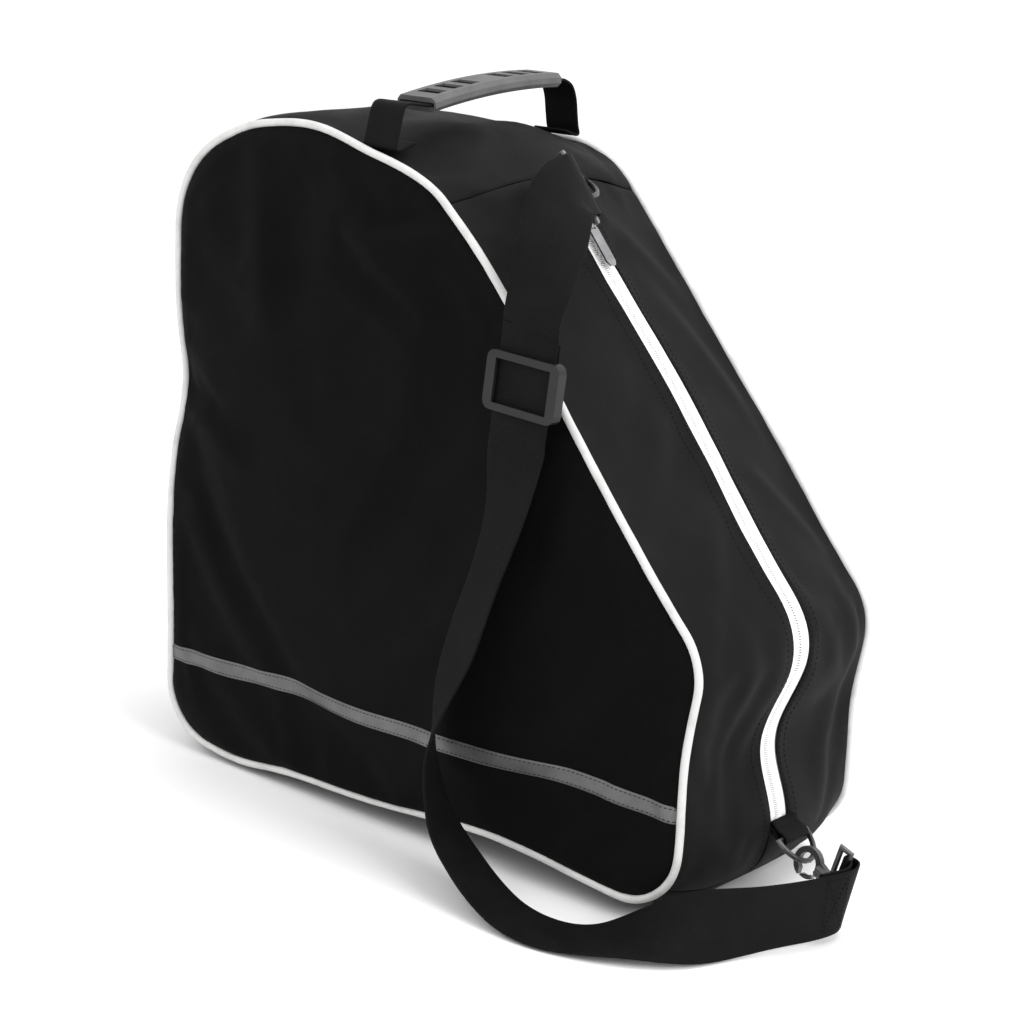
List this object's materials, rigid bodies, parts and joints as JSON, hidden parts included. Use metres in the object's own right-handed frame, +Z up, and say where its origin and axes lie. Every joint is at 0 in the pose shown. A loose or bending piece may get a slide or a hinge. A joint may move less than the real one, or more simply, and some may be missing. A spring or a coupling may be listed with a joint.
{
  "type": "skate bag",
  "caption": "Boot-shaped soft carrying bag for skates, with piped side panels, a long zip down the front, a padded carry handle and a clip-on shoulder strap.",
  "frame": {"origin": "on the floor, under the middle of the bag's flat base", "axes": "+Z up; +X towards the toe, where the zip runs down; -Y is the side panel that the shoulder strap hangs beside"},
  "size_m": [0.4841, 0.2519, 0.4412],
  "materials": {
    "black_fabric": "matt black woven polyester",
    "piping": "white piping",
    "reflective_tape": "silver-grey reflective tape",
    "padding": "foam padding",
    "base_board": "fibreboard",
    "black_webbing": "ribbed black webbing",
    "zipper_white": "white coil zipper",
    "grip_grey": "grey moulded grip",
    "black_plastic": "dark moulded plastic",
    "black_metal": "black coated metal",
    "steel": "dull zinc"
  },
  "bodies": {
    "bag": {"side_panel_right": "black_fabric", "side_panel_left": "black_fabric", "side_padding_right": "padding", "side_padding_left": "padding", "piping_right": "piping", "piping_left": "piping", "reflective_tape_right": "reflective_tape", "reflective_tape_left": "reflective_tape", "top_back_gusset": "black_fabric", "base_gusset": "black_fabric", "front_gusset_right": "black_fabric", "front_gusset_left": "black_fabric", "base_board": "base_board", "zipper_tape_right": "zipper_white", "zipper_tape_left": "zipper_white", "zipper_coil_right": "zipper_white", "zipper_coil_left": "zipper_white", "handle_anchor_right": "black_webbing", "handle_anchor_left": "black_webbing", "ring_tab_upper": "black_webbing", "ring_tab_lower": "black_webbing"},
    "handle": {"handle_webbing": "black_webbing", "handle_grip": "grip_grey"},
    "zip_slider": {"zipper_slider": "steel"},
    "zip_pull": {"zipper_pull": "steel"},
    "ring_upper": {"d_ring_upper": "black_metal"},
    "ring_lower": {"d_ring_lower": "black_metal"},
    "shoulder_strap": {"strap_webbing": "black_webbing", "hook_eye_upper": "black_metal", "hook_eye_lower": "black_metal"},
    "hook_upper": {"snap_hook_upper": "black_metal"},
    "hook_lower": {"snap_hook_lower": "black_metal"},
    "gate_upper": {"hook_gate_upper": "steel"},
    "gate_lower": {"hook_gate_lower": "steel"},
    "strap_adjuster": {"tri_glide": "black_plastic", "strap_bar_loop": "black_webbing"}
  },
  "joints": [
    {"name": "handle_swing", "type": "hinge", "parent": "bag", "child": "handle", "pos_m": [-0.046, 0, 0.406], "axis": [0, 1, 0], "range_deg": [-20, 20]},
    {"name": "zipper_travel", "type": "slide", "parent": "bag", "child": "zip_slider", "axis": [0.6583, 0, -0.7528], "range_m": [0, 0.228]},
    {"name": "zipper_pull_swing", "type": "hinge", "parent": "zip_slider", "child": "zip_pull", "pos_m": [0.04114, 0, 0.36197], "axis": [0, -1, 0], "range_deg": [0, 35]},
    {"name": "ring_upper_hinge", "type": "hinge", "parent": "bag", "child": "ring_upper", "pos_m": [0.02639, 0, 0.38339], "axis": [0, 1, 0], "range_deg": [-8, 8]},
    {"name": "ring_lower_hinge", "type": "hinge", "parent": "bag", "child": "ring_lower", "pos_m": [0.22076, 0, 0.04105], "axis": [0, 1, 0], "range_deg": [-8, 8]},
    {"name": "strap_swing", "type": "hinge", "parent": "bag", "child": "shoulder_strap", "pos_m": [0.23281, -0.00293, 0.03044], "axis": [-0.4911, -0.02, 0.8709], "range_deg": [0, 18]},
    {"name": "hook_upper_swivel", "type": "hinge", "parent": "shoulder_strap", "child": "hook_upper", "pos_m": [0.03762, -0.01233, 0.37939], "axis": [0.6804, -0.7104, 0.1801], "range_deg": [-12, 12]},
    {"name": "hook_lower_swivel", "type": "hinge", "parent": "shoulder_strap", "child": "hook_lower", "pos_m": [0.23472, -0.00333, 0.03], "axis": [0.9544, -0.2009, -0.221], "range_deg": [-12, 12]},
    {"name": "gate_upper_hinge", "type": "hinge", "parent": "hook_upper", "child": "gate_upper", "pos_m": [0.04098, -0.0183, 0.37555], "axis": [0.7235, 0.6118, -0.3198], "range_deg": [0, 18], "stiffness_Nm_per_rad": 0.02, "springref_deg": -20.05},
    {"name": "gate_lower_hinge", "type": "hinge", "parent": "hook_lower", "child": "gate_lower", "pos_m": [0.239, -0.00505, 0.02365], "axis": [0.1703, 0.9739, -0.1499], "range_deg": [0, 18], "stiffness_Nm_per_rad": 0.02, "springref_deg": -20.05},
    {"name": "adjuster_slide", "type": "slide", "parent": "shoulder_strap", "child": "strap_adjuster", "axis": [-0.0499, 0, -0.9988], "range_m": [-0.008, 0.008]}
  ]
}
